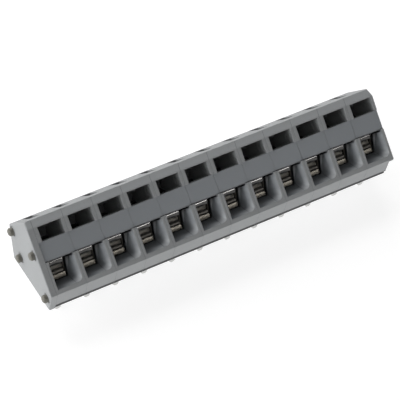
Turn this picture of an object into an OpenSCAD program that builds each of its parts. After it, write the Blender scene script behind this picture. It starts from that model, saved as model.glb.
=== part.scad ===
// Twelve-pole spring-clamp terminal block for a printed circuit board.
// X runs along the row of poles, -Y is the wire side and Z = 0 is the board's top face.
// Each pole is a moulded tray, open on its left, that holds a stamped contact bar and a clamp spring.
// The next tray closes it, and an end plate closes the first one.

/* [Row] */
// Number of poles
poles = 12; // [2:1:18]
// Distance from pole to pole
pitch = 5; // [4.9:0.02:7.62]
// Thickness of the end plate
plate_t = 1; // [0.7:0.05:1.2]
// Bevel round the end plate's outer face
plate_bevel = 0.12; // [0.04:0.02:0.4]

/* [Housing outline] */
// Depth from the front lip to the rear shoulder
depth = 14; // [13.6:0.1:16]
// Height of the ridge above the board
body_h = 12.3; // [12:0.1:14]
// Height of the front lip's top edge
lip_h = 3.9; // [3.7:0.1:4.6]
// Height of the rear shoulder
shoulder_h = 6.6; // [6:0.1:7.4]
// Slope of the front face
front_angle = 45; // [43:0.5:47]
// Set-back of the base behind the front lip
lip_lean = 0.9; // [0.3:0.1:1.1]
// Set-back of the base in front of the rear shoulder
rear_lean = 1.1; // [0.3:0.1:1.5]

/* [Walls] */
// Thickness of the base
floor_t = 0.8; // [0.75:0.05:1]
// Thickness of the rear wall
back_t = 0.9; // [0.6:0.05:1.2]
// Thickness of the rear slope
roof_t = 1.3; // [1:0.05:1.5]
// Thickness of the front slope
panel_t = 1.95; // [1.8:0.05:2.2]
// Thickness of the block behind the lip
lip_t = 2.2; // [2:0.05:2.4]
// Thickness of the tray's closed side
side_t = 0.5; // [0.4:0.05:0.8]

/* [Front openings] */
// Sill between the lip and the wire entry
sill_h = 0.65; // [0.5:0.05:0.9]
// Height of the wire entry along the slope
entry_h = 4.45; // [4.2:0.05:4.8]
// Height of the plain band between the two rows of openings
band_h = 3.17; // [2.8:0.01:3.4]
// How far the band is sunk
band_sink = 0.2; // [0.05:0.05:0.3]
// Height of the operating slot along the slope
slot_h = 2.27; // [1.9:0.01:2.4]
// Wall on the left of a wire entry
entry_wall_left = 0.42; // [0.3:0.02:0.6]
// Wall on the right of a wire entry
entry_wall_right = 0.37; // [0.3:0.01:0.6]
// Wall on the left of an operating slot
slot_wall_left = 0.67; // [0.4:0.01:0.9]
// Wall on the right of an operating slot
slot_wall_right = 0.46; // [0.4:0.01:0.9]
// Radius of the wire entry's rounded corner
entry_round = 0.7; // [0.3:0.05:1]
// Depth over which the wire entry flares out to its mouth
flare_depth = 0.9; // [0.6:0.05:1]
// Rise of the wire entry's floor over the flare
flare_rise = 0.42; // [0.3:0.02:0.6]
// Draw-in of the wire entry's right side over the flare
flare_right = 0.62; // [0.4:0.02:0.8]
// Draw-in of the wire entry's left side over the flare
flare_left = 0.06; // [0.02:0.01:0.12]
// Gap on the left of the clamp spring in the funnel's throat
throat_gap_left = 0.12; // [0.08:0.01:0.2]
// Gap on the right of the clamp spring in the funnel's throat
throat_gap_right = 0.3; // [0.1:0.02:0.4]

/* [Rear pocket] */
// Left edge of the tag pocket in a pole
pocket_x = 0.95; // [0.7:0.05:1.2]
// Width of the tag pocket
pocket_w = 1.7; // [1.2:0.05:1.9]
// Length of the tag pocket down the rear slope
pocket_len = 4.35; // [3:0.05:4.6]
// Wall between the tag pocket and the rear shoulder
pocket_margin = 0.44; // [0.3:0.02:1]
// Depth of the tag pocket
pocket_depth = 0.9; // [0.5:0.05:0.95]

/* [Pegs and sockets] */
// Radius of a peg's free end
peg_r = 0.65; // [0.5:0.01:0.7]
// Extra radius of a peg's root at the tray, half of it left where the peg comes out of the end plate
peg_shoulder = 0.1; // [0.08:0.01:0.15]
// Length of a peg beyond the end plate
peg_out = 0.75; // [0.5:0.05:1]
// Bevel at a peg's end
peg_tip = 0.2; // [0.05:0.05:0.3]
// Radial clearance of a peg's root in its hole or socket
peg_clear = 0.05; // [0.03:0.01:0.08]
// Depth left below a peg's end in its socket
socket_spare = 0.1; // [0.05:0.05:0.3]
// Wall round a socket
socket_wall = 0.3; // [0.2:0.05:0.35]

/* [Contact bar] */
// Centre of the clamp from the left side of its pole
clamp_x = 1.85; // [1.7:0.01:1.95]
// Width of the contact bar
bar_w = 1.9; // [1.7:0.05:2.1]
// Thickness of the contact bar
bar_t = 0.6; // [0.5:0.02:0.65]
// Height of the bar's underside above the lip's edge, along the slope
bar_low = 2.8; // [2.7:0.05:2.9]
// Width of a solder pin along the row
pin_w = 1; // [0.8:0.05:1.1]
// Thickness of a solder pin
pin_t = 0.5; // [0.4:0.05:0.6]
// Length of a solder pin below the board's top face
pin_len = 4; // [3:0.1:5]
// Distance of the front solder pin behind the front lip
pin_setback = 3.9; // [3.8:0.05:4.1]
// Distance between a pole's two solder pins
pin_row_gap = 5; // [4.8:0.1:5.2]
// Shift of the solder pins to the left of the clamp's centre
pin_shift = 0.1; // [0:0.05:0.3]
// Clearance round a solder pin in the base
pin_clear = 0.1; // [0.05:0.01:0.15]

/* [Clamp spring] */
// Thickness of the spring strip
spring_t = 0.35; // [0.3:0.01:0.4]
// Width of the strip at each side of the spring's window
window_leg = 0.25; // [0.2:0.01:0.35]
// Clearance at each side of the bar in the spring's window
window_clear = 0.1; // [0.06:0.01:0.15]
// Radius of the spring's loop, at the middle of the strip
loop_r = 1.4; // [1.2:0.05:1.45]
// Radius of the spring's small bends, at the middle of the strip
bend_r = 0.45; // [0.4:0.05:0.5]
// Gap between the closed clamp and the bar
clamp_gap = 0.02; // [0.01:0.01:0.05]

/* [Hidden] */
$fn = 48;
past = 0.5;
housing_grey = "#8b8f91";
spring_steel = "#b3b0a8";
tinned_copper = "#c9c6bd";

function two_digits(i) = i < 10 ? str("0", i) : str(i);
function housing_name(i) = str("pole_housing_", two_digits(i));
function spring_name(i) = str("clamp_spring_", two_digits(i));
function bar_name(i) = str("contact_bar_", two_digits(i));
pole_numbers = [for (i = [1:poles]) i];

// Left side of a pole, with the row centred on X = 0
function pole_x(i) = (i - 1 - poles / 2) * pitch;

// A place under the front slope: u runs up the slope from the lip's edge, w runs in from the face
function slope_place(u, w) = [
    -depth / 2 + u * cos(front_angle) + w * sin(front_angle),
    lip_h + u * sin(front_angle) - w * cos(front_angle)
];

// Outline of the housing seen from the end, counterclockwise from the base's front edge
ridge = [-depth / 2 + (body_h - lip_h) / tan(front_angle), body_h];
shoulder = [depth / 2, shoulder_h];
outline = [
    [-depth / 2 + lip_lean, 0],
    [depth / 2 - rear_lean, 0],
    shoulder,
    ridge,
    [-depth / 2, lip_h]
];
walls = [floor_t, back_t, roof_t, panel_t, lip_t];
rear_slope_len = norm(shoulder - ridge);
rear_slope_angle = atan2(shoulder[1] - ridge[1], shoulder[0] - ridge[0]);

// The outline moved in by the thickness of each wall
function unit(v) = v / norm(v);
function left_of(v) = [-v[1], v[0]];
function cross_of(a, b) = a[0] * b[1] - a[1] * b[0];
function meet(p, d, q, e) = p + d * cross_of(q - p, e) / cross_of(d, e);
function inset(points, moves) = let (n = len(points)) [
    for (i = [0:n - 1])
        let (
            before = points[(i + n - 1) % n],
            here = points[i],
            after = points[(i + 1) % n],
            d = unit(here - before),
            e = unit(after - here)
        )
        meet(here + left_of(d) * moves[(i + n - 1) % n], d, here + left_of(e) * moves[i], e)
];
cavity = inset(outline, walls);

// Heights along the slope of the two rows of openings
entry_top = sill_h + entry_h;
slot_low = entry_top + band_h;
slot_top = slot_low + slot_h;

// Middle of the clamp spring's loop in (w, u), and in (Y, Z)
loop_behind = 3.35;
loop_above = 1.8;
loop_mid = [panel_t + loop_behind, entry_top + loop_above];
loop_place = slope_place(loop_mid[1], loop_mid[0]);

// Pegs and sockets. They stand in the lip, in the band, in the shoulder and below the spring's loop.
peg_root_r = peg_r + peg_shoulder;
peg_waist_r = peg_r + peg_shoulder / 2;
socket_r = peg_root_r + peg_clear;
boss_r = socket_r + socket_wall;
peg_lip_inset = [1.5, 2.25];
peg_band_depth = 1.1;
peg_shoulder_inset = [1.3, 0.35];
peg_loop_gap = 0.14;
peg_loop_angle = -56;
peg_loop_reach = loop_r + spring_t / 2 + peg_loop_gap + boss_r;
pegs = [
    [-depth / 2, 0] + peg_lip_inset,
    slope_place(entry_top + band_h / 2, peg_band_depth),
    shoulder - peg_shoulder_inset,
    loop_place + peg_loop_reach * [cos(peg_loop_angle), sin(peg_loop_angle)]
];
peg_len = plate_t + peg_out;
socket_depth = peg_len + socket_spare;

// Contact bar: a foot on the base, two solder pins, and a tongue that rises to the wire entry
pin_places = [-depth / 2 + pin_setback, -depth / 2 + pin_setback + pin_row_gap];
bar_top = bar_low + bar_t;
bar_tip_depth = panel_t;
bar_tip_bevel = 0.2;
foot_mid_z = floor_t + bar_t / 2;
tongue_end = (lip_h + (bar_low + bar_t / 2) * sin(front_angle) - foot_mid_z) / cos(front_angle);
foot_margin = 0.2;
pin_point = 0.25;

// Rib on the tray's side that holds the bar's foot in line
rib_play = 0.05;
rib_rise = 0.3;
rib_len = 2.4;

// Channels under the base that keep it clear of the solder
channel_depth = 0.3;
channel_w = 1.8;

// Step under the front edge of the base
front_step = [0.15, 0.75];

// Corner cut-outs on the free side of the last pole
end_ridge_cut = [0.65, 0.85];
end_lip_cut = [0.75, 2.4, 3.45];

// Clamp spring in (w, u): tail on the bar, loop, upper leg, front bend, windowed leg and lip
window_w = bar_w + 2 * window_clear;
spring_w = window_w + 2 * window_leg;
window_low = bar_low - clamp_gap;
window_head = 0.8;
window_top = entry_top - window_head;
tail_u = bar_top + clamp_gap + spring_t / 2;
tail_behind = 0.9;
tail_len = 2.5;
tail_tip = [panel_t + tail_behind, tail_u];
tail_bend = tail_tip + [tail_len, 0];
bend_ahead = 0.5;
bend_below = 0.15;
front_bend = [panel_t - bend_ahead, entry_top - bend_below];
leg_behind = 0.65;
leg_below = 0.1;
leg_bend = [panel_t + leg_behind, bar_low - leg_below];
lip_slant = 0.1;
lip_len = 0.7;
lip_tip = leg_bend + [lip_slant, -lip_len];
bend_steps = 8;
loop_steps = 24;

// Headings of the two straight runs that touch the loop, and the loop's angles where they do
function heading(v) = atan2(v[1], v[0]);
function touch_angle(v) = asin(loop_r / norm(v));
heading_in = heading(loop_mid - tail_bend) - touch_angle(loop_mid - tail_bend);
heading_out = heading(loop_mid - front_bend) + touch_angle(loop_mid - front_bend) + 180;
loop_from = heading_in - 90;
loop_to = heading_out - 90;
function on_loop(a, r) = loop_mid + r * [cos(a), sin(a)];

// One side of the bent strip: its middle line moved left by a distance, with the bends as arcs
function bend_arc(before, here, after, r, move) = let (
    d = unit(here - before),
    e = unit(after - here),
    turn = atan2(cross_of(d, e), d * e),
    way = sign(turn),
    centre = here - d * r * tan(abs(turn) / 2) + left_of(d) * r * way,
    start = heading(-left_of(d) * way)
) [
    for (k = [0:bend_steps])
        let (a = start + turn * k / bend_steps)
        centre + (r - way * move) * [cos(a), sin(a)]
];
function strip_side(move) = concat(
    [tail_tip + left_of(unit(tail_bend - tail_tip)) * move],
    bend_arc(tail_tip, tail_bend, on_loop(loop_from, loop_r), bend_r, move),
    [for (k = [0:loop_steps]) on_loop(loop_from + (loop_to - loop_from) * k / loop_steps, loop_r - move)],
    bend_arc(on_loop(loop_to, loop_r), front_bend, leg_bend, bend_r, move),
    bend_arc(front_bend, leg_bend, lip_tip, bend_r, move),
    [lip_tip + left_of(unit(lip_tip - leg_bend)) * move]
);
function backwards(points) = [for (i = [len(points) - 1:-1:0]) points[i]];
spring_strip = concat(strip_side(spring_t / 2), backwards(strip_side(-spring_t / 2)));

// Throat of the wire entry, a plane just in front of the windowed leg
throat_behind = 0.7;
throat_below = 1.1;
throat_ahead = 0.85;
throat_low = [panel_t + throat_behind, bar_low - throat_below];
throat_high = [panel_t - throat_ahead, entry_top];
throat_run = throat_high - throat_low;
throat_x0 = clamp_x - spring_w / 2 - throat_gap_left;
throat_x1 = clamp_x + spring_w / 2 + throat_gap_right;
throat_round = 0.4;
throat_skin = 0.2;
throat_heel = [2.4, 1.6];
throat_reach = 1.2;
throat_head = 0.35;

// Spans of the flare, each a little steeper than the one before
flare_spans = 3;
flare_curve = 0.3;
function flare_share(k) = let (t = k / flare_spans) t * (1 + flare_curve * (1 - t));

// Slot along the top of the wire entry that clears the spring's front bend
nose_gap = 0.3;
nose_wall = 0.55;
thin = 0.01;

// A flat outline in (Y, Z), drawn out along the row from one X to another
module drawn_out(points, x0, x1) {
    translate([x0, 0, 0])
        rotate([90, 0, 90])
            linear_extrude(height = x1 - x0)
                polygon(points);
}

// Local frame of the front slope: Y runs up the slope, Z runs out of the face
module on_slope() {
    translate([0, -depth / 2, lip_h])
        rotate([front_angle, 0, 0])
            children();
}

// Local frame of the rear slope: Y runs down from the ridge, Z runs out of the face
module on_rear_slope() {
    translate([0, ridge[0], ridge[1]])
        rotate([rear_slope_angle, 0, 0])
            children();
}

// A round bar along the row at a place in (Y, Z)
module along_row(place, r, x0, x1) {
    translate([x0, place[0], place[1]])
        rotate([0, 90, 0])
            cylinder(r = r, h = x1 - x0);
}

// Local frame of the throat: Y runs up the throat, Z runs out towards the wire
module on_throat() {
    on_slope()
        translate([0, throat_low[1], -throat_low[0]])
            rotate([heading([throat_run[1], -throat_run[0]]), 0, 0])
                children();
}

// Corners of an opening with its lower right one rounded, to be spanned
module opening_corners(x0, x1, low, high, r) {
    translate([x0, low])
        square([thin, high - low]);
    translate([x0, high - thin])
        square([x1 - x0, thin]);
    translate([x1 - r, low + r])
        circle(r = r);
}

// Section of the wire entry after a number of the flare's spans, from its mouth in
module flare_section(k) {
    on_slope()
        translate([0, 0, -flare_depth * k / flare_spans])
            linear_extrude(height = thin)
                opening_corners(
                    entry_wall_left - flare_left * flare_share(k),
                    pitch - entry_wall_right - flare_right * flare_share(k),
                    sill_h + flare_rise * flare_share(k),
                    entry_top,
                    entry_round
                );
}

// Funnel of the wire entry, from its mouth in the slope to the throat in front of the clamp
module wire_entry() {
    for (k = [1:flare_spans])
        hull() {
            flare_section(k - 1);
            flare_section(k);
        }
    hull() {
        flare_section(flare_spans);
        on_throat()
            linear_extrude(height = thin)
                opening_corners(throat_x0, throat_x1, 0, norm(throat_run), throat_round);
    }
    on_slope()
        translate([throat_x0, entry_top - nose_gap, -panel_t - past])
            cube([pitch - nose_wall - throat_x0, nose_gap, panel_t + past - band_sink]);
    on_throat()
        translate([throat_x0, 0, -throat_reach])
            cube([throat_x1 - throat_x0, norm(throat_run) + throat_head, throat_reach + thin / 2]);
}

// Solid behind the slope that the funnel is cut from
module throat_block() {
    skin = throat_skin * unit([throat_run[1], -throat_run[0]]);
    low = throat_low + skin - throat_skin * unit(throat_run);
    high = throat_high + skin;
    inside = panel_t / 2;
    drawn_out([
        slope_place(0, inside),
        [-depth / 2 + throat_heel[0], throat_heel[1]],
        slope_place(low[1], low[0]),
        slope_place(high[1], high[0]),
        slope_place(entry_top + past, inside)
    ], 0, pitch - side_t / 2);
}

// Slot for the blade that opens the clamp
module operating_slot() {
    on_slope()
        translate([slot_wall_left, slot_low, -panel_t - past])
            cube([pitch - slot_wall_left - slot_wall_right, slot_h, panel_t + 2 * past]);
}

// Sunk band between the two rows of openings
module marker_band() {
    on_slope()
        translate([-past, entry_top, -band_sink])
            cube([pitch + 2 * past, band_h, band_sink + past]);
}

// Pocket in the rear slope for a marking tag
module tag_pocket() {
    on_rear_slope()
        translate([pocket_x, rear_slope_len - pocket_margin - pocket_len, -pocket_depth])
            cube([pocket_w, pocket_len, pocket_depth + past]);
}

// Holes and channels in the base for the solder pins
module pin_passage() {
    for (y = pin_places) {
        translate([clamp_x - pin_shift - pin_w / 2 - pin_clear, y - pin_t / 2 - pin_clear, -past])
            cube([pin_w + 2 * pin_clear, pin_t + 2 * pin_clear, floor_t + 2 * past]);
        translate([-past, y - channel_w / 2, -past])
            cube([pitch + 2 * past, channel_w, channel_depth + past]);
    }
}

// Step that undercuts the front edge of the base
module base_step() {
    translate([-past, -depth / 2 - past, -past])
        cube([pitch + 2 * past, lip_lean + front_step[0] + past, front_step[1] + past]);
}

// Cut-outs at the ridge and at the lip on the free side of the last pole
module end_relief() {
    translate([pitch, -depth, body_h])
        rotate([-90, 0, 0])
            linear_extrude(height = 2 * depth)
                polygon([
                    [-end_ridge_cut[0], 0],
                    [-end_ridge_cut[0], -past],
                    [past, -past],
                    [past, end_ridge_cut[1]],
                    [0, end_ridge_cut[1]]
                ]);
    translate([pitch - end_lip_cut[0], -depth / 2 - past, -past])
        cube([end_lip_cut[0] + past, end_lip_cut[1] + past, end_lip_cut[2] + past]);
}

// Peg on the tray's left side that joins it to the pole before it, with a tapered root
module joining_peg(place) {
    translate([-plate_t, place[0], place[1]])
        rotate([0, 90, 0])
            cylinder(r1 = peg_waist_r, r2 = peg_root_r, h = plate_t + past / 2);
    along_row(place, peg_r, peg_tip - peg_len, 0);
    translate([-peg_len, place[0], place[1]])
        rotate([0, 90, 0])
            cylinder(r1 = peg_r - peg_tip, r2 = peg_r, h = peg_tip);
}

module tray_solid() {
    difference() {
        drawn_out(outline, 0, pitch);
        drawn_out(cavity, -past, pitch - side_t);
    }
    throat_block();
    intersection() {
        drawn_out(outline, 0, pitch);
        for (place = pegs)
            along_row(place, boss_r, 0, pitch);
    }
    rib_x = clamp_x + bar_w / 2 + rib_play;
    rib_mid = (pin_places[0] + pin_places[1]) / 2;
    translate([rib_x, rib_mid - rib_len / 2, floor_t - past])
        cube([pitch - side_t + past / 2 - rib_x, rib_len, bar_t + rib_rise + past]);
}

module pole_housing(i) {
    color(housing_grey)
        translate([pole_x(i), 0, 0]) {
            difference() {
                tray_solid();
                wire_entry();
                operating_slot();
                marker_band();
                tag_pocket();
                pin_passage();
                base_step();
                for (place = pegs)
                    along_row(place, socket_r, pitch - socket_depth, pitch + past);
                if (i == poles)
                    end_relief();
            }
            for (place = pegs)
                joining_peg(place);
        }
}

module end_plate() {
    color(housing_grey)
        translate([pole_x(1), 0, 0])
            difference() {
                drawn_out(outline, -plate_t, 0);
                for (place = pegs)
                    along_row(place, socket_r, -plate_t - past, past);
                for (i = [0:len(outline) - 1])
                    edge_bevel(outline[i], outline[(i + 1) % len(outline)]);
            }
}

// Bevel along one edge of the end plate's outer face
module edge_bevel(from, to) {
    run = to - from;
    side = plate_bevel * sqrt(2);
    translate([-plate_t, from[0], from[1]])
        rotate([atan2(run[1], run[0]), 0, 0])
            rotate([0, 45, 0])
                translate([-side / 2, -past, -side / 2])
                    cube([side, norm(run) + 2 * past, side]);
}

module solder_pin(y) {
    half = pin_w / 2;
    translate([-pin_shift, y + pin_t / 2, 0])
        rotate([90, 0, 0])
            linear_extrude(height = pin_t)
                polygon([
                    [-half, foot_mid_z],
                    [-half, pin_point - pin_len],
                    [pin_point - half, -pin_len],
                    [half - pin_point, -pin_len],
                    [half, pin_point - pin_len],
                    [half, foot_mid_z]
                ]);
}

module contact_bar(i) {
    foot_front = pin_places[0] - pin_t / 2 - foot_margin;
    foot_back = pin_places[1] + pin_t / 2 + foot_margin;
    color(tinned_copper)
        translate([pole_x(i) + clamp_x, 0, 0]) {
            on_slope()
                drawn_out([
                    [bar_low, -tongue_end],
                    [bar_top, -tongue_end],
                    [bar_top, -bar_tip_depth - bar_tip_bevel],
                    [bar_top - bar_tip_bevel, -bar_tip_depth],
                    [bar_low + bar_tip_bevel, -bar_tip_depth],
                    [bar_low, -bar_tip_depth - bar_tip_bevel]
                ], -bar_w / 2, bar_w / 2);
            translate([-bar_w / 2, foot_front, floor_t])
                cube([bar_w, foot_back - foot_front, bar_t]);
            for (y = pin_places)
                solder_pin(y);
        }
}

module clamp_spring(i) {
    color(spring_steel)
        translate([pole_x(i) + clamp_x, 0, 0])
            on_slope()
                difference() {
                    drawn_out([for (p = spring_strip) [p[1], -p[0]]], -spring_w / 2, spring_w / 2);
                    translate([-window_w / 2, window_low, -leg_bend[0] - past])
                        cube([window_w, window_top - window_low, leg_bend[0] + past]);
                }
}

end_plate();
for (i = pole_numbers) pole_housing(i);
for (i = pole_numbers) contact_bar(i);
for (i = pole_numbers) clamp_spring(i);
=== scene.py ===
import math

import bpy
from mathutils import Matrix, Vector


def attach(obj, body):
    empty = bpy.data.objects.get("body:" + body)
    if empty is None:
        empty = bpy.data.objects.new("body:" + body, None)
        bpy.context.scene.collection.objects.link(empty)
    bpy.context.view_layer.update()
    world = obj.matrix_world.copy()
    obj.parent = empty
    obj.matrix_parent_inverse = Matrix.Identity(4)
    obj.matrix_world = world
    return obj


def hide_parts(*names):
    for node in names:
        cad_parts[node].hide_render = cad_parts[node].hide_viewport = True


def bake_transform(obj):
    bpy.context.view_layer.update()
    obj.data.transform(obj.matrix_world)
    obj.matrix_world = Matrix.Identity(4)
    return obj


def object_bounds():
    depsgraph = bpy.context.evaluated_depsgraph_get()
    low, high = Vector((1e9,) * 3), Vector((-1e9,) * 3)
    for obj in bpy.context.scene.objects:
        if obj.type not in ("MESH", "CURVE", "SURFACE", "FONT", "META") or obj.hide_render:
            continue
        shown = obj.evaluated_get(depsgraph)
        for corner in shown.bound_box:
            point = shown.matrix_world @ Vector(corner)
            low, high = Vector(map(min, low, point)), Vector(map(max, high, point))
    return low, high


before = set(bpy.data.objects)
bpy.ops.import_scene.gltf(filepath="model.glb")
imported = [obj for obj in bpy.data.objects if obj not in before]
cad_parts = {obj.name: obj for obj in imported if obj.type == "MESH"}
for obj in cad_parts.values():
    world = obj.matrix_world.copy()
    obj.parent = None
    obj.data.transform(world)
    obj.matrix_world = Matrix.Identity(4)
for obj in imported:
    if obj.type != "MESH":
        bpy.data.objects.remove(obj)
cad_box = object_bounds()
MM = 0.001

# Pole housings and end plate: twelve like trays of grey polyamide, injection moulded, that peg together
# side by side, and a flat cover of the same material on the open side of the first one.
# The mould leaves every edge very slightly round, which shows the seams and the rims of the openings.
POLES = 12
PITCH = 5.0
WELD_WITHIN_MM = 0.001
FLAT_WITHIN = math.radians(0.5)
EDGE_OVER = math.radians(28)
pole_numbers = [f"{i:02d}" for i in range(1, POLES + 1)]


def srgb(code):
    """Linear colour of an sRGB hex code."""
    parts = [int(code[i:i + 2], 16) / 255 for i in (1, 3, 5)]
    return tuple(c / 12.92 if c <= 0.04045 else ((c + 0.055) / 1.055) ** 2.4 for c in parts) + (1.0,)


def add(tree, kind, inputs, **settings):
    """Add a node: its settings, then each input as a value or as the socket that feeds it."""
    made = tree.nodes.new(kind)
    for name, value in settings.items():
        setattr(made, name, value)
    for name, value in inputs.items():
        if isinstance(value, bpy.types.NodeSocket):
            tree.links.new(value, made.inputs[name])
        else:
            made.inputs[name].default_value = value
    return made


def dress(obj, material):
    """Give every face of an object one material."""
    obj.data.materials.clear()
    obj.data.materials.append(material)


flowing = bpy.data.node_groups.new("flowing_faces", "GeometryNodeTree")
flowing.interface.new_socket("Geometry", in_out="INPUT", socket_type="NodeSocketGeometry")
flowing.interface.new_socket("Geometry", in_out="OUTPUT", socket_type="NodeSocketGeometry")
solid = add(flowing, "NodeGroupInput", {})
eased = add(flowing, "GeometryNodeSetShadeSmooth", {"Geometry": solid.outputs[0]})
bend = add(flowing, "GeometryNodeInputMeshEdgeAngle", {})
sharp = add(flowing, "FunctionNodeCompare", {0: bend.outputs["Unsigned Angle"], 1: EDGE_OVER},
            operation="GREATER_THAN")
creased = add(flowing, "GeometryNodeSetShadeSmooth",
              {"Geometry": eased.outputs[0], "Selection": sharp.outputs[0], "Shade Smooth": False},
              domain="EDGE")
add(flowing, "NodeGroupOutput", {"Geometry": creased.outputs[0]})


def flow_faces(obj):
    """Let the curved faces of a solid run on smoothly and keep its flat faces flat."""
    weld = obj.modifiers.new("weld", "WELD")
    weld.merge_threshold = WELD_WITHIN_MM * MM
    faces = obj.modifiers.new("faces", "DECIMATE")
    faces.decimate_type = "DISSOLVE"
    faces.angle_limit = FLAT_WITHIN
    obj.modifiers.new("flowing", "NODES").node_group = flowing
    flats = obj.modifiers.new("flats", "WEIGHTED_NORMAL")
    flats.keep_sharp = True


# Polyamide 66, moulded against a spark-eroded tool: an even mid grey, matt, with a fine grain that softens
# highlights and faint clouds from the melt's flow. The sunk band and the funnels come off polished steel, so
# they are smoother; both are also painted a touch darker and bluer, in the funnels partly as painted shade.
# The other tints are matched to the photograph.
FLOW_MM = 3.5
GRAIN_MM = 0.22  # the real grain is about 0.05 mm, too fine to show at this size
GRAIN_DEPTH_MM = 0.01
GRAIN_STRENGTH = 0.35
MOST_FLECKS = 0.5
EDGE_ROUND_MM = 0.18
EDGE_SAMPLES = 6
MATT_FROM, MATT_TO, POLISHED_ROUGHNESS = 0.5, 0.6, 0.4
POLYAMIDE_IOR = 1.53
THROAT_GLOOM = 0.3
SLOPE_EDGE = Vector((0.0, -7.0, 3.9)) * MM
UP_SLOPE = Vector((0.0, 1.0, 1.0)).normalized()
INTO_SLOPE = Vector((0.0, 1.0, -1.0)).normalized()
RIDGE = Vector((0.0, 1.4, 12.3)) * MM
DOWN_REAR = Vector((0.0, 5.6, -5.7)).normalized()
INTO_REAR = Vector((0.0, -5.7, -5.6)).normalized()
polyamide = bpy.data.materials.new("polyamide_66_moulded_grey")
polyamide.use_nodes = True
tree = polyamide.node_tree
shader = tree.nodes["Principled BSDF"]
place = add(tree, "ShaderNodeTexCoord", {}).outputs["Object"]
flow = add(tree, "ShaderNodeTexNoise", {"Vector": place, "Scale": 1 / (FLOW_MM * MM), "Detail": 3.0})
grain = add(tree, "ShaderNodeTexNoise", {"Vector": place, "Scale": 1 / (GRAIN_MM * MM), "Detail": 2.0})

# Where a point lies: along the row, across its own pole, off the nearest seam, up and into the front slope,
# down and into the rear slope.
at = add(tree, "ShaderNodeSeparateXYZ", {"Vector": place}).outputs
where = {"along": at["X"], "back": at["Y"], "above": at["Z"]}
for name, limit_mm, way in (("across", PITCH, "FLOORED_MODULO"), ("off_seam", PITCH / 2, "PINGPONG")):
    where[name] = add(tree, "ShaderNodeMath", {0: at["X"], 1: limit_mm * MM}, operation=way).outputs[0]
for name, start, way in (("up", SLOPE_EDGE, UP_SLOPE), ("into", SLOPE_EDGE, INTO_SLOPE),
                         ("down_rear", RIDGE, DOWN_REAR), ("into_rear", RIDGE, INTO_REAR)):
    reach = add(tree, "ShaderNodeVectorMath", {0: place, 1: start}, operation="SUBTRACT")
    run = add(tree, "ShaderNodeVectorMath", {0: reach.outputs[0], 1: way}, operation="DOT_PRODUCT")
    where[name] = run.outputs["Value"]

# Regions with a hard border, in mm: COMPARE has a middle and a half width, the others a limit.
region = {}
# The pegs region paints the pegs darker and brownish, partly as painted shade.
for name, test, measure, *sizes in (
        ("band_height", "COMPARE", "up", 6.685, 1.6),
        ("band_floor", "COMPARE", "into", 0.2, 0.06),
        ("row", "COMPARE", "along", 0.0, 29.95),
        ("inside", "GREATER_THAN", "into", 0.05),
        ("mouth", "COMPARE", "up", 2.9, 2.35),
        ("front_face", "COMPARE", "into", 0.0, 0.05),
        ("throat_wall", "COMPARE", "across", 3.45, 0.06),
        ("pocket_depth", "COMPARE", "into_rear", 0.5, 0.45),
        ("pocket_width", "COMPARE", "across", 1.8, 0.86),
        ("pocket_length", "COMPARE", "down_rear", 5.375, 2.2),
        ("pegs", "LESS_THAN", "along", -31.03),
        ("low", "LESS_THAN", "above", 0.95),
        ("in_front", "LESS_THAN", "back", -5.9),
        ("by_seam", "LESS_THAN", "off_seam", 0.03),
        ("short_of_end", "LESS_THAN", "along", 29.95)):
    limits = {k: mm * MM for k, mm in enumerate(sizes, 1)}
    region[name] = add(tree, "ShaderNodeMath", {0: where[measure], **limits}, operation=test).outputs[0]

# Regions with a soft border: none at the first size in mm, and the most, which comes last, at the second.
# Of these, near_ridge carries painted light on the ridge; near_mouth, near_right and near_sill carry painted
# light in the funnel corners; deep, high, left and rising carry painted shade in the funnels.
for name, measure, none_mm, most_mm, most in (
        ("near_ridge", "up", 10.5, 10.8, 0.6),
        ("near_mouth", "into", 1.3, 0.3, 0.75),
        ("near_right", "across", 1.4, 3.8, 1.0),
        ("near_sill", "up", 2.6, 1.2, 1.0),
        ("deep", "into", 1.0, 2.6, 0.22),
        ("high", "up", 4.2, 5.1, 0.5),
        ("left", "across", 2.6, 1.0, 0.34),
        ("rising", "up", 2.9, 4.4, 0.6),
        ("past_flare", "into", 0.7, 1.0, 1.0)):
    ramp = add(tree, "ShaderNodeMapRange",
               {"Value": where[measure], "From Min": none_mm * MM, "From Max": most_mm * MM, "To Max": most})
    region[name] = ramp.outputs["Result"]

# Regions where others meet, as the product of those, and regions put together, as a sum or the larger one.
# Here the paler ridge and funnel corners are painted light, the pocket, foot and gloom regions are painted
# shade, and the polished faces are also painted darker.
for name, way, first, *others in (
        ("band", "MULTIPLY", "band_height", "band_floor"),
        ("funnel", "MULTIPLY", "inside", "mouth", "row"),
        ("polished_painted_darker", "MAXIMUM", "band", "funnel"),
        ("painted_light_ridge", "MULTIPLY", "near_ridge", "front_face"),
        ("painted_light_corner", "MULTIPLY", "near_mouth", "near_right", "near_sill", "funnel"),
        ("pale", "ADD", "painted_light_ridge", "painted_light_corner"),
        ("pocket", "MULTIPLY", "pocket_depth", "pocket_width", "pocket_length"),
        ("foot", "MULTIPLY", "low", "in_front", "row"),
        ("seam", "MULTIPLY", "by_seam", "short_of_end"),
        ("upper_wall", "MULTIPLY", "rising", "past_flare"),
        ("gloom", "ADD", "deep", "high", "left", "upper_wall")):
    joined = region[first]
    for other in others:
        joined = add(tree, "ShaderNodeMath", {0: joined, 1: region[other]}, operation=way).outputs[0]
    region[name] = joined
# Painted shade in the funnels: darker with depth, near the top edge, to the left, up the walls and on the
# throat's wall by the clamp.
gloom = add(tree, "ShaderNodeMath", {0: region["throat_wall"], 1: THROAT_GLOOM, 2: region["gloom"]},
            operation="MULTIPLY_ADD", use_clamp=True)
dim = add(tree, "ShaderNodeMath", {0: gloom.outputs[0], 1: region["funnel"]}, operation="MULTIPLY")
flecks = add(tree, "ShaderNodeMapRange", {"Value": grain.outputs["Fac"], "To Max": MOST_FLECKS})
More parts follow.
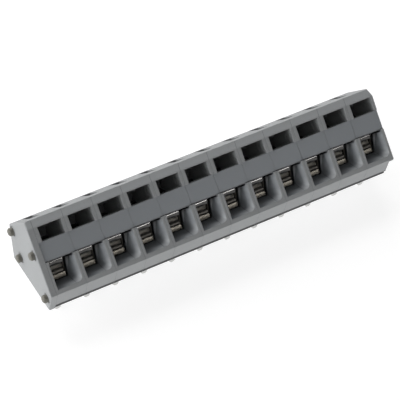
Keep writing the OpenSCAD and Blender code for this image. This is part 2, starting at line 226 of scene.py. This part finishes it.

# The tints, each over the ones before it: clouds of the melt, flecks of the grain, the polished faces painted
# darker and bluer, painted light on the ridge and on the lower right funnel corners, painted shade in the tag
# pockets, the pegs painted brownish and darker, partly as painted shade, painted shade on the foot under the
# lip, a fine line at each seam, and painted shade in the funnels towards their depth, top and left and at the
# clamp.
colour = srgb("#8A8C8D")
for amount, code in (
        (flow.outputs["Fac"], "#929495"),
        (flecks.outputs["Result"], "#858788"),
        (region["polished_painted_darker"], "#7F8387"),
        (region["pale"], "#A9ACAE"),
        (region["pocket"], "#727475"),
        (region["pegs"], "#66645C"),
        (region["foot"], "#3E3F3F"),
        (region["seam"], "#7E8082"),
        (dim.outputs[0], "#2E2F30")):
    tint = add(tree, "ShaderNodeMix", {"Factor": amount, "A": colour, "B": srgb(code)}, data_type="RGBA")
    colour = tint.outputs[2]
tree.links.new(colour, shader.inputs["Base Color"])
matt = add(tree, "ShaderNodeMapRange", {"Value": flow.outputs["Fac"], "To Min": MATT_FROM, "To Max": MATT_TO})
finish = add(tree, "ShaderNodeMix", {"Factor": region["polished_painted_darker"], "A": matt.outputs["Result"],
                                     "B": POLISHED_ROUGHNESS}, data_type="FLOAT")
tree.links.new(finish.outputs[0], shader.inputs["Roughness"])
rounded = add(tree, "ShaderNodeBevel", {"Radius": EDGE_ROUND_MM * MM}, samples=EDGE_SAMPLES)
relief = add(tree, "ShaderNodeBump", {"Height": grain.outputs["Fac"], "Strength": GRAIN_STRENGTH,
                                      "Distance": GRAIN_DEPTH_MM * MM, "Normal": rounded.outputs["Normal"]})
tree.links.new(relief.outputs["Normal"], shader.inputs["Normal"])
shader.inputs["IOR"].default_value = POLYAMIDE_IOR
for name in ["end_plate"] + [f"pole_housing_{n}" for n in pole_numbers]:
    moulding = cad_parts[name]
    dress(moulding, polyamide)
    flow_faces(moulding)

# Contact bars: stamped from copper strip and bent, with two solder pins each, then dipped in tin.
# They lie in the trays, with the tongue through the spring's window and the pins out through the foot.
# Tin, dipped, under a dull film that mirrors little: cloudy, brownish grey at the tongue, and painted pale on
# the pins as a painted reflection of the white floor.
TIN_CLOUD_MM = 0.6
PINS_BELOW_MM = 0.4
TIN_MATT_FROM, TIN_MATT_TO = 0.36, 0.5
TONGUE_METALLIC, PIN_METALLIC = 0.5, 0.3
tin = bpy.data.materials.new("tinned_copper_dull")
tin.use_nodes = True
tree = tin.node_tree
shader = tree.nodes["Principled BSDF"]
place = add(tree, "ShaderNodeTexCoord", {}).outputs["Object"]
cloud = add(tree, "ShaderNodeTexNoise", {"Vector": place, "Scale": 1 / (TIN_CLOUD_MM * MM), "Detail": 4.0})
worn = add(tree, "ShaderNodeMix",
           {"Factor": cloud.outputs["Fac"], "A": srgb("#5F5C56"), "B": srgb("#736F69")}, data_type="RGBA")
at = add(tree, "ShaderNodeSeparateXYZ", {"Vector": place}).outputs
# Below this height the pins are painted pale, a painted reflection of the white floor.
on_pin = add(tree, "ShaderNodeMath", {0: at["Z"], 1: PINS_BELOW_MM * MM}, operation="LESS_THAN")
tint = add(tree, "ShaderNodeMix", {"Factor": on_pin.outputs[0], "A": worn.outputs[2], "B": srgb("#D8D8D6")},
           data_type="RGBA")
tree.links.new(tint.outputs[2], shader.inputs["Base Color"])
matt = add(tree, "ShaderNodeMapRange",
           {"Value": cloud.outputs["Fac"], "To Min": TIN_MATT_FROM, "To Max": TIN_MATT_TO})
tree.links.new(matt.outputs["Result"], shader.inputs["Roughness"])
film = add(tree, "ShaderNodeMapRange",
           {"Value": on_pin.outputs[0], "To Min": TONGUE_METALLIC, "To Max": PIN_METALLIC})
tree.links.new(film.outputs["Result"], shader.inputs["Metallic"])
for n in pole_numbers:
    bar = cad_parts[f"contact_bar_{n}"]
    dress(bar, tin)
    flow_faces(bar)

# Clamp springs: strip of chrome-nickel spring steel, pierced with a window and bent on a mandrel.
# The tail sits on the contact bar, the loop is the spring, and the leg with the window grips the wire.
# Points are (w, u) in mm: w runs in from the front slope, u runs up it from the lip's edge.
DEPTH = 14.0
LIP_H = 3.9
PANEL_T = 1.95
BAR_LOW = 2.8
BAR_TOP = 3.4
ENTRY_TOP = 5.1
CLAMP_X = 1.85
CLAMP_GAP = 0.02
STRIP_T = 0.35
STRIP_W = 2.6
STRIP_EDGE = 0.05
WINDOW_LEG = 0.25
WINDOW_LOW = 2.78
WINDOW_TOP = 4.3
LOOP_R = 1.4
BEND_R = 0.45
LOOP_STEPS = 36
BEND_STEPS = 8
TAIL_U = BAR_TOP + CLAMP_GAP + STRIP_T / 2
TAIL_FROM, TAIL_TO, TAIL_JOIN = 0.9, 3.4, 0.4
TURN_UP_TOP = 4.05
LOOP_IN, LOOP_UP = 3.35, 1.8
FRONT_OUT, FRONT_DOWN = 0.5, 0.15
LEG_IN, LEG_DOWN = 0.65, 0.1
LIP = Vector((0.1, -0.7))
tail_tip = Vector((PANEL_T + TAIL_FROM, TAIL_U))
tail_bend = Vector((PANEL_T + TAIL_TO, TAIL_U))
tail_cut = tail_bend - Vector((TAIL_JOIN, 0.0))
loop_mid = Vector((PANEL_T + LOOP_IN, ENTRY_TOP + LOOP_UP))
front_bend = Vector((PANEL_T - FRONT_OUT, ENTRY_TOP - FRONT_DOWN))
leg_bend = Vector((PANEL_T + LEG_IN, BAR_LOW - LEG_DOWN))
lip_tip = leg_bend + LIP


def heading(v):
    """Angle of a direction in (w, u)."""
    return math.atan2(v.y, v.x)


def on_loop(angle):
    """The point of the spring's loop at an angle."""
    return loop_mid + LOOP_R * Vector((math.cos(angle), math.sin(angle)))


def bend_points(before, here, after, r, steps):
    """Points of the round that replaces a corner of the strip's middle line."""
    d = (here - before).normalized()
    e = (after - here).normalized()
    turn = math.atan2(d.x * e.y - d.y * e.x, d.dot(e))
    way = math.copysign(1, turn)
    left = Vector((-d.y, d.x)) * way
    centre = here - d * r * math.tan(abs(turn) / 2) + left * r
    start = heading(-left)
    return [centre + r * Vector((math.cos(start + turn * k / steps), math.sin(start + turn * k / steps)))
            for k in range(steps + 1)]


def up_to(a, b, u):
    """The point at height u on the line from a to b."""
    return a + (b - a) * ((u - a.y) / (b.y - a.y))


run_in = loop_mid - tail_bend
run_out = loop_mid - front_bend
loop_from = heading(run_in) - math.asin(LOOP_R / run_in.length) - math.pi / 2
loop_to = heading(run_out) + math.asin(LOOP_R / run_out.length) + math.pi / 2
loop_points = [on_loop(loop_from + (loop_to - loop_from) * k / LOOP_STEPS) for k in range(LOOP_STEPS + 1)]
line = [tail_cut]
line += bend_points(tail_tip, tail_bend, loop_points[0], BEND_R, BEND_STEPS)
line += loop_points
line += bend_points(loop_points[-1], front_bend, leg_bend, BEND_R, BEND_STEPS)
window_at = len(line)
line += [up_to(front_bend, leg_bend, WINDOW_TOP), up_to(front_bend, leg_bend, WINDOW_LOW)]
line += bend_points(front_bend, leg_bend, lip_tip, BEND_R, BEND_STEPS)
line += [lip_tip]
# The tail's end is turned up behind the bar's tip.
tail_corner = tail_tip + Vector((STRIP_T / 2, 0.0))
tail_line = [Vector((tail_corner.x, TURN_UP_TOP)), tail_corner, tail_cut]


def on_slope(point, x):
    """A place in the row, in metres, from (w, u) and x in mm."""
    side = math.sqrt(0.5)
    y = -DEPTH / 2 + (point.y + point.x) * side
    z = LIP_H + (point.y - point.x) * side
    return Vector((x, y, z)) * MM


half = STRIP_W / 2
columns = [-half, -half + WINDOW_LEG, 0.0, half - WINDOW_LEG, half]
BEVEL_OVER = math.radians(40)
CREASE_OVER = math.radians(35)


def bent_strip(name, points, materials, window_row=-1):
    """Mesh of a length of strip along (w, u) points, with materials for above, beside and below its window."""
    verts = [on_slope(p, x) for p in points for x in columns]
    faces = []
    zones = []
    for row in range(len(points) - 1):
        for col in range(len(columns) - 1):
            if row == window_row and 0 < col < len(columns) - 2:
                continue
            a = row * len(columns) + col
            faces.append((a, a + 1, a + 1 + len(columns), a + len(columns)))
            zones.append((row >= window_row >= 0) + (row > window_row >= 0))
    sheet = bpy.data.meshes.new(name)
    sheet.from_pydata(verts, [], faces)
    for material in materials:
        sheet.materials.append(material)
    sheet.polygons.foreach_set("material_index", zones)
    blank = bpy.data.objects.new(name, sheet)
    bpy.context.scene.collection.objects.link(blank)
    thick = blank.modifiers.new("thick", "SOLIDIFY")
    thick.thickness = STRIP_T * MM
    thick.offset = 0.0
    thick.use_even_offset = True
    edge = blank.modifiers.new("edge", "BEVEL")
    edge.width = STRIP_EDGE * MM
    edge.segments = 2
    edge.limit_method = "ANGLE"
    edge.angle_limit = BEVEL_OVER
    made = bpy.data.meshes.new_from_object(blank.evaluated_get(bpy.context.evaluated_depsgraph_get()))
    bpy.data.objects.remove(blank)
    made.shade_smooth()
    made.set_sharp_from_angle(angle=CREASE_OVER)
    return made


# Spring steel, rolled: fine lengthwise roll marks break its colour and shine into streaks along the strip.
# It is bright round the loop and the bends, painted dark on the narrow legs beside the punched window as
# painted shade, rubbed softer by wires on the lip below it, and painted paler and even on the tail, and only
# partly metallic there, as painted light.
ROLL_MM = 0.12
ROLL_STRETCH = 0.06
ROLL_DEPTH_MM = 0.004
ROLL_STRENGTH = 0.3


def spring_steel(state, dark, pale, metallic, smooth, rough):
    """The strip's steel in one state of its surface: two colours, how metallic it is, range of roughness."""
    made = bpy.data.materials.new(f"chrome_nickel_spring_steel_{state}")
    made.use_nodes = True
    tree = made.node_tree
    shader = tree.nodes["Principled BSDF"]
    place = add(tree, "ShaderNodeTexCoord", {}).outputs["Object"]
    drawn = add(tree, "ShaderNodeMapping", {"Vector": place, "Scale": (1.0, ROLL_STRETCH, ROLL_STRETCH)})
    marks = add(tree, "ShaderNodeTexNoise",
                {"Vector": drawn.outputs["Vector"], "Scale": 1 / (ROLL_MM * MM), "Detail": 3.0})
    tint = add(tree, "ShaderNodeMix", {"Factor": marks.outputs["Fac"], "A": srgb(dark), "B": srgb(pale)},
               data_type="RGBA")
    tree.links.new(tint.outputs[2], shader.inputs["Base Color"])
    matt = add(tree, "ShaderNodeMapRange", {"Value": marks.outputs["Fac"], "To Min": smooth, "To Max": rough})
    tree.links.new(matt.outputs["Result"], shader.inputs["Roughness"])
    relief = add(tree, "ShaderNodeBump",
                 {"Height": marks.outputs["Fac"], "Strength": ROLL_STRENGTH, "Distance": ROLL_DEPTH_MM * MM})
    tree.links.new(relief.outputs["Normal"], shader.inputs["Normal"])
    shader.inputs["Metallic"].default_value = metallic
    return made


rolled = spring_steel("rolled", "#5A5957", "#727170", metallic=1.0, smooth=0.14, rough=0.24)
# The legs beside the window are painted dark, as painted shade.
legs_shade_steel = spring_steel("legs_painted_shade", "#3E3B36", "#4C4943", metallic=1.0, smooth=0.4, rough=0.5)
rubbed = spring_steel("rubbed", "#635F57", "#736F67", metallic=1.0, smooth=0.3, rough=0.42)
# The tail is painted pale and only partly metallic, as painted light where little light reaches it.
tail_light_steel = spring_steel("tail_painted_light", "#9C988F", "#AEAAA2", metallic=0.4, smooth=0.5, rough=0.6)
tail_mesh = bent_strip("spring_tail", tail_line, [tail_light_steel])
strip_mesh = bent_strip("spring_strip", line, [rolled, legs_shade_steel, rubbed], window_at)

# The tail stays on the bar. The loop takes up the turn between it and the leg, which moves in the real clamp;
# here the strip is only put in place.
for i, n in enumerate(pole_numbers):
    tail = bpy.data.objects.new(f"spring_tail_{n}", tail_mesh.copy())
    strip = bpy.data.objects.new(f"spring_strip_{n}", strip_mesh.copy())
    for piece in (tail, strip):
        bpy.context.scene.collection.objects.link(piece)
        piece.location.x = ((i - POLES / 2) * PITCH + CLAMP_X) * MM
        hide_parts(f"clamp_spring_{n}")
    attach(tail, "block")
    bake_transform(strip)

# Floor: a light table of opal acrylic under the solder pins, wide enough to fill the view from any side.
# It is a cast sheet lit from below, an even white that lights the part's front from underneath.
# It keeps a faint shadow, and looks dimmer in metal than it is seen, which leaves the clamps dark.
FLOOR_HALF = 3.0
GLOW_SEEN = 1.3
GLOW_ON_PART = 2.5
GLOW_LOST_IN_METAL = 0.75
GLOW_SHARE = 0.6
OPAL_ROUGHNESS = 0.85
OPAL_IOR = 1.49
floor_z = cad_box[0][2]
corners = [(x * FLOOR_HALF, y * FLOOR_HALF, floor_z) for x, y in ((-1, -1), (1, -1), (1, 1), (-1, 1))]
table_mesh = bpy.data.meshes.new("light_table")
table_mesh.from_pydata(corners, [], [(0, 1, 2, 3)])
table = bpy.data.objects.new("light_table", table_mesh)
bpy.context.scene.collection.objects.link(table)
opal = bpy.data.materials.new("opal_acrylic_lit")
opal.use_nodes = True
tree = opal.node_tree
shader = tree.nodes["Principled BSDF"]
shader.inputs["Base Color"].default_value = srgb("#F2F2F2")
shader.inputs["Roughness"].default_value = OPAL_ROUGHNESS
shader.inputs["IOR"].default_value = OPAL_IOR
path = add(tree, "ShaderNodeLightPath", {})
level = add(tree, "ShaderNodeMapRange",
            {"Value": path.outputs["Is Diffuse Ray"], "To Min": GLOW_SEEN, "To Max": GLOW_ON_PART})
level = add(tree, "ShaderNodeMath",
            {0: path.outputs["Is Glossy Ray"], 1: -GLOW_LOST_IN_METAL, 2: level.outputs["Result"]},
            operation="MULTIPLY_ADD")
glow = add(tree, "ShaderNodeEmission", {"Color": srgb("#FFFFFF"), "Strength": level.outputs[0]})
mixed = add(tree, "ShaderNodeMixShader", {"Fac": GLOW_SHARE, 1: shader.outputs[0], 2: glow.outputs[0]})
tree.links.new(mixed.outputs[0], tree.nodes["Material Output"].inputs["Surface"])
dress(table, opal)

# Studio light: a soft box at the left that grazes past the front slope, one behind, and a weak one in front
# that metal hardly mirrors. The end face and the rear slope are bright, the front slope lies in softer light,
# and a small lamp that shows in reflections alone puts the glint on the springs' front bends.
WHITE_UNIT = math.pi ** 2
LAMP_DISTANCE = 0.7
FRONT_BOX_TOWARD = (-0.25, -0.57, 0.78)


def soft_box(name, toward, size, level):
    """An area lamp in a direction from the part, that lights a facing white surface to the given level."""
    lamp = bpy.data.lights.new(name, "AREA")
    lamp.shape = "SQUARE"
    lamp.size = size
    lamp.energy = level * WHITE_UNIT * LAMP_DISTANCE ** 2
    obj = bpy.data.objects.new(name, lamp)
    bpy.context.scene.collection.objects.link(obj)
    obj.location = Vector(toward).normalized() * LAMP_DISTANCE
    obj.rotation_euler = Vector(toward).to_track_quat("Z", "Y").to_euler()
    return obj


soft_box("left_box", (-0.94, 0.31, 0.09), size=0.85, level=1.72)
soft_box("rear_box", (0.0, 0.75, 0.63), size=0.7, level=0.88)
soft_box("front_box", FRONT_BOX_TOWARD, size=0.5, level=0.152).visible_glossy = False
soft_box("front_glint", FRONT_BOX_TOWARD, size=0.5, level=0.05)
soft_box("metal_glint", (0.36, -0.85, 0.39), size=0.14, level=0.14).visible_diffuse = False

# Room: white where it is seen beside the floor, with little light of its own on the part.
# In metal it is white near the horizon behind the part, and dim overhead and in front.
ROOM_ON_PART = 0.09
ROOM_SEEN = 1.0
world = bpy.data.worlds.new("studio")
bpy.context.scene.world = world
world.use_nodes = True
tree = world.node_tree
for made in list(tree.nodes):
    tree.nodes.remove(made)
path = add(tree, "ShaderNodeLightPath", {})
mirrored = add(tree, "ShaderNodeMath",
               {0: path.outputs["Is Glossy Ray"], 1: path.outputs["Is Transmission Ray"]},
               operation="MAXIMUM")
sky_way = add(tree, "ShaderNodeTexCoord", {}).outputs["Generated"]
toward = add(tree, "ShaderNodeSeparateXYZ", {"Vector": sky_way}).outputs
in_metal = ROOM_SEEN
for axis, start, stop, level_at_start, level_at_stop in (
        ("Z", 0.05, 0.5, 1.0, 0.05),
        ("Y", -0.7, -0.2, 0.2, 1.0)):
    fade = add(tree, "ShaderNodeMapRange", {"Value": toward[axis], "From Min": start, "From Max": stop,
                                            "To Min": level_at_start, "To Max": level_at_stop})
    faded = add(tree, "ShaderNodeMath", {0: fade.outputs["Result"], 1: in_metal}, operation="MULTIPLY")
    in_metal = faded.outputs[0]
level = ROOM_ON_PART
for rays, shown in ((mirrored.outputs[0], in_metal), (path.outputs["Is Camera Ray"], ROOM_SEEN)):
    seen = add(tree, "ShaderNodeMix", {"Factor": rays, "A": level, "B": shown}, data_type="FLOAT")
    level = seen.outputs[0]
sky = add(tree, "ShaderNodeBackground", {"Color": srgb("#FFFFFF"), "Strength": level})
add(tree, "ShaderNodeOutputWorld", {"Surface": sky.outputs[0]})
bpy.context.scene.view_settings.view_transform = "Standard"

# Camera: long lens at the front left and above, set by the strip's own edges in the photograph.
# Its three directions and its place come from a fit to those edges.
SENSOR_MM = 36.0
LENS_MM = 175.7
NEAREST = 0.01
CAMERA_RIGHT = Vector((0.867604, -0.496439, 0.02849))
CAMERA_UP = Vector((0.34598, 0.643821, 0.68249))
CAMERA_BACK = Vector((-0.357157, -0.582274, 0.730339))
CAMERA_AT = Vector((-110.20, -177.10, 225.75)) * MM
lens = bpy.data.cameras.new("camera")
lens.sensor_width = SENSOR_MM
lens.lens = LENS_MM
lens.clip_start = NEAREST
camera = bpy.data.objects.new("camera", lens)
bpy.context.scene.collection.objects.link(camera)
turn = Matrix((CAMERA_RIGHT, CAMERA_UP, CAMERA_BACK)).transposed().to_4x4()
camera.matrix_world = Matrix.Translation(CAMERA_AT) @ turn
bpy.context.scene.camera = camera
